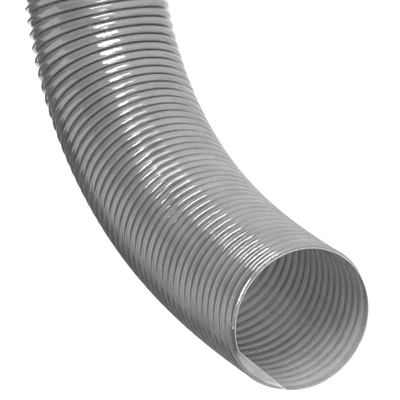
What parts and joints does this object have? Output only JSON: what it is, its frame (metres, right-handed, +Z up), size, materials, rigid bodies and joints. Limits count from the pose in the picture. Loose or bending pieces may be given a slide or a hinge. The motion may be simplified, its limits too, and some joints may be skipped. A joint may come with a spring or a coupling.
{
  "type": "flexible air duct",
  "caption": "Flexible round air duct of clear grey polyurethane film on a sprung wire helix, open at both ends, lying in a flat bend.",
  "frame": {"origin": "centre of the open mouth, in the plane of its rim", "axes": "+X out of the mouth along the bore, +Z up, the duct runs towards -X and bends towards +Y"},
  "size_m": [0.5003, 0.2922, 0.133],
  "materials": {
    "film": "clear grey polyurethane film, glossy",
    "sleeve": "grey polyurethane, glossy",
    "wire": "drawn spring-steel wire"
  },
  "bodies": {
    "section_01": {"film_01": "film", "sleeve_01": "sleeve", "wire_01": "wire"},
    "fold_body_01": {"fold_01": "film"},
    "section_02": {"film_02": "film", "sleeve_02": "sleeve", "wire_02": "wire"},
    "fold_body_02": {"fold_02": "film"},
    "section_03": {"film_03": "film", "sleeve_03": "sleeve", "wire_03": "wire"},
    "fold_body_03": {"fold_03": "film"},
    "section_04": {"film_04": "film", "sleeve_04": "sleeve", "wire_04": "wire"},
    "fold_body_04": {"fold_04": "film"},
    "section_05": {"film_05": "film", "sleeve_05": "sleeve", "wire_05": "wire"},
    "fold_body_05": {"fold_05": "film"},
    "section_06": {"film_06": "film", "sleeve_06": "sleeve", "wire_06": "wire"},
    "fold_body_06": {"fold_06": "film"},
    "section_07": {"film_07": "film", "sleeve_07": "sleeve", "wire_07": "wire", "fold_07": "film"},
    "section_08": {"film_08": "film", "sleeve_08": "sleeve", "wire_08": "wire", "fold_08": "film"},
    "section_09": {"film_09": "film", "sleeve_09": "sleeve", "wire_09": "wire", "fold_09": "film"},
    "section_10": {"film_10": "film", "sleeve_10": "sleeve", "wire_10": "wire", "fold_10": "film"},
    "section_11": {"film_11": "film", "sleeve_11": "sleeve", "wire_11": "wire", "fold_11": "film"},
    "section_12": {"film_12": "film", "sleeve_12": "sleeve", "wire_12": "wire", "fold_12": "film"},
    "section_13": {"film_13": "film", "sleeve_13": "sleeve", "wire_13": "wire", "fold_13": "film"},
    "section_14": {"film_14": "film", "sleeve_14": "sleeve", "wire_14": "wire", "fold_14": "film"},
    "section_15": {"film_15": "film", "sleeve_15": "sleeve", "wire_15": "wire"}
  },
  "joints": [
    {"name": "bend_01", "type": "hinge", "parent": "section_01", "child": "fold_body_01", "pos_m": [-0.02212, 0, 0], "axis": [0, 0, -1], "range_deg": [-0.82, 0.2], "stiffness_Nm_per_rad": 1, "deforming": ["fold_01", "sleeve_01", "wire_01", "sleeve_02", "wire_02"]},
    {"name": "sway_01", "type": "hinge", "parent": "fold_body_01", "child": "section_02", "pos_m": [-0.03938, 0.00006, 0], "axis": [0.0086, 1, 0], "range_deg": [-4, 4], "stiffness_Nm_per_rad": 1, "deforming": ["fold_01", "sleeve_01", "wire_01", "sleeve_02", "wire_02"]},
    {"name": "bend_02", "type": "hinge", "parent": "section_02", "child": "fold_body_02", "pos_m": [-0.05662, 0.00031, 0], "axis": [0, 0, -1], "range_deg": [-1.49, 0.37], "stiffness_Nm_per_rad": 1, "deforming": ["fold_02", "sleeve_02", "wire_02", "sleeve_03", "wire_03"]},
    {"name": "stretch_02", "type": "slide", "parent": "fold_body_02", "child": "section_03", "axis": [-0.9995, 0.0329, 0], "range_m": [-0.006, 0.004], "stiffness_N_per_m": 2400, "deforming": ["fold_02", "sleeve_02", "wire_02", "sleeve_03", "wire_03"]},
    {"name": "bend_03", "type": "hinge", "parent": "section_03", "child": "fold_body_03", "pos_m": [-0.0911, 0.00145, 0], "axis": [0, 0, -1], "range_deg": [-1.9, 0.47], "stiffness_Nm_per_rad": 1, "deforming": ["fold_03", "sleeve_03", "wire_03", "sleeve_04", "wire_04"]},
    {"name": "sway_03", "type": "hinge", "parent": "fold_body_03", "child": "section_04", "pos_m": [-0.10833, 0.00241, 0], "axis": [0.0641, 0.9979, 0], "range_deg": [-4, 4], "stiffness_Nm_per_rad": 1, "deforming": ["fold_03", "sleeve_03", "wire_03", "sleeve_04", "wire_04"]},
    {"name": "bend_04", "type": "hinge", "parent": "section_04", "child": "fold_body_04", "pos_m": [-0.12553, 0.00368, 0], "axis": [0, 0, -1], "range_deg": [-2.4, 0.6], "stiffness_Nm_per_rad": 1, "deforming": ["fold_04", "sleeve_04", "wire_04", "sleeve_05", "wire_05"]},
    {"name": "stretch_04", "type": "slide", "parent": "fold_body_04", "child": "section_05", "axis": [-0.9946, 0.1034, 0], "range_m": [-0.00538, 0.00359], "stiffness_N_per_m": 2400, "deforming": ["fold_04", "sleeve_04", "wire_04", "sleeve_05", "wire_05"]},
    {"name": "bend_05", "type": "hinge", "parent": "section_05", "child": "fold_body_05", "pos_m": [-0.15984, 0.00726, 0], "axis": [0, 0, -1], "range_deg": [-2.96, 0.74], "stiffness_Nm_per_rad": 1, "deforming": ["fold_05", "sleeve_05", "wire_05", "sleeve_06", "wire_06"]},
    {"name": "sway_05", "type": "hinge", "parent": "fold_body_05", "child": "section_06", "pos_m": [-0.17692, 0.00966, 0], "axis": [0.1521, 0.9884, 0], "range_deg": [-4, 4], "stiffness_Nm_per_rad": 1, "deforming": ["fold_05", "sleeve_05", "wire_05", "sleeve_06", "wire_06"]},
    {"name": "bend_06", "type": "hinge", "parent": "section_06", "child": "fold_body_06", "pos_m": [-0.19393, 0.01253, 0], "axis": [0, 0, -1], "range_deg": [-3.59, 0.9], "stiffness_Nm_per_rad": 1, "deforming": ["fold_06", "sleeve_06", "wire_06", "sleeve_07", "wire_07"]},
    {"name": "stretch_06", "type": "slide", "parent": "fold_body_06", "child": "section_07", "axis": [-0.9775, 0.2109, 0], "range_m": [-0.00456, 0.00304], "stiffness_N_per_m": 2400, "deforming": ["fold_06", "sleeve_06", "wire_06", "sleeve_07", "wire_07"]},
    {"name": "bend_07", "type": "hinge", "parent": "section_07", "child": "section_08", "pos_m": [-0.23599, 0.022, 0], "axis": [0, 0, -1], "range_deg": [-4.27, 1.07], "stiffness_Nm_per_rad": 1, "deforming": ["fold_07", "sleeve_07", "wire_07", "sleeve_08", "wire_08"]},
    {"name": "bend_08", "type": "hinge", "parent": "section_08", "child": "section_09", "pos_m": [-0.26889, 0.03234, 0], "axis": [0, 0, -1], "range_deg": [-5.01, 1.25], "stiffness_Nm_per_rad": 1, "deforming": ["fold_08", "sleeve_08", "wire_08", "sleeve_09", "wire_09"]},
    {"name": "bend_09", "type": "hinge", "parent": "section_09", "child": "section_10", "pos_m": [-0.30077, 0.04551, 0], "axis": [0, 0, -1], "range_deg": [-5.79, 1.45], "stiffness_Nm_per_rad": 1, "deforming": ["fold_09", "sleeve_09", "wire_09", "sleeve_10", "wire_10"]},
    {"name": "bend_10", "type": "hinge", "parent": "section_10", "child": "section_11", "pos_m": [-0.33115, 0.06182, 0], "axis": [0, 0, -1], "range_deg": [-6.62, 1.66], "stiffness_Nm_per_rad": 1, "deforming": ["fold_10", "sleeve_10", "wire_10", "sleeve_11", "wire_11"]},
    {"name": "bend_11", "type": "hinge", "parent": "section_11", "child": "section_12", "pos_m": [-0.35944, 0.08153, 0], "axis": [0, 0, -1], "range_deg": [-7.5, 1.87], "stiffness_Nm_per_rad": 1, "deforming": ["fold_11", "sleeve_11", "wire_11", "sleeve_12", "wire_12"]},
    {"name": "bend_12", "type": "hinge", "parent": "section_12", "child": "section_13", "pos_m": [-0.38492, 0.10475, 0], "axis": [0, 0, -1], "range_deg": [-8.41, 2.1], "stiffness_Nm_per_rad": 1, "deforming": ["fold_12", "sleeve_12", "wire_12", "sleeve_13", "wire_13"]},
    {"name": "bend_13", "type": "hinge", "parent": "section_13", "child": "section_14", "pos_m": [-0.40673, 0.13144, 0], "axis": [0, 0, -1], "range_deg": [-8.95, 2.24], "stiffness_Nm_per_rad": 1, "deforming": ["fold_13", "sleeve_13", "wire_13", "sleeve_14", "wire_14"]},
    {"name": "bend_14", "type": "hinge", "parent": "section_14", "child": "section_15", "pos_m": [-0.42412, 0.16119, 0], "axis": [0, 0, -1], "range_deg": [-6, 1.5], "stiffness_Nm_per_rad": 1, "deforming": ["fold_14", "sleeve_14", "wire_14", "sleeve_15", "wire_15"]}
  ],
  "couplings": [
    {"joint": "sway_03", "follows": "sway_01", "ratio": 1},
    {"joint": "stretch_04", "follows": "stretch_02", "ratio": 0.89526},
    {"joint": "sway_05", "follows": "sway_01", "ratio": 1},
    {"joint": "stretch_06", "follows": "stretch_02", "ratio": 0.75857},
    {"joint": "bend_11", "follows": "bend_13", "ratio": 0.83659},
    {"joint": "bend_12", "follows": "bend_13", "ratio": 0.93849},
    {"joint": "bend_14", "follows": "bend_13", "ratio": 0.66976}
  ]
}
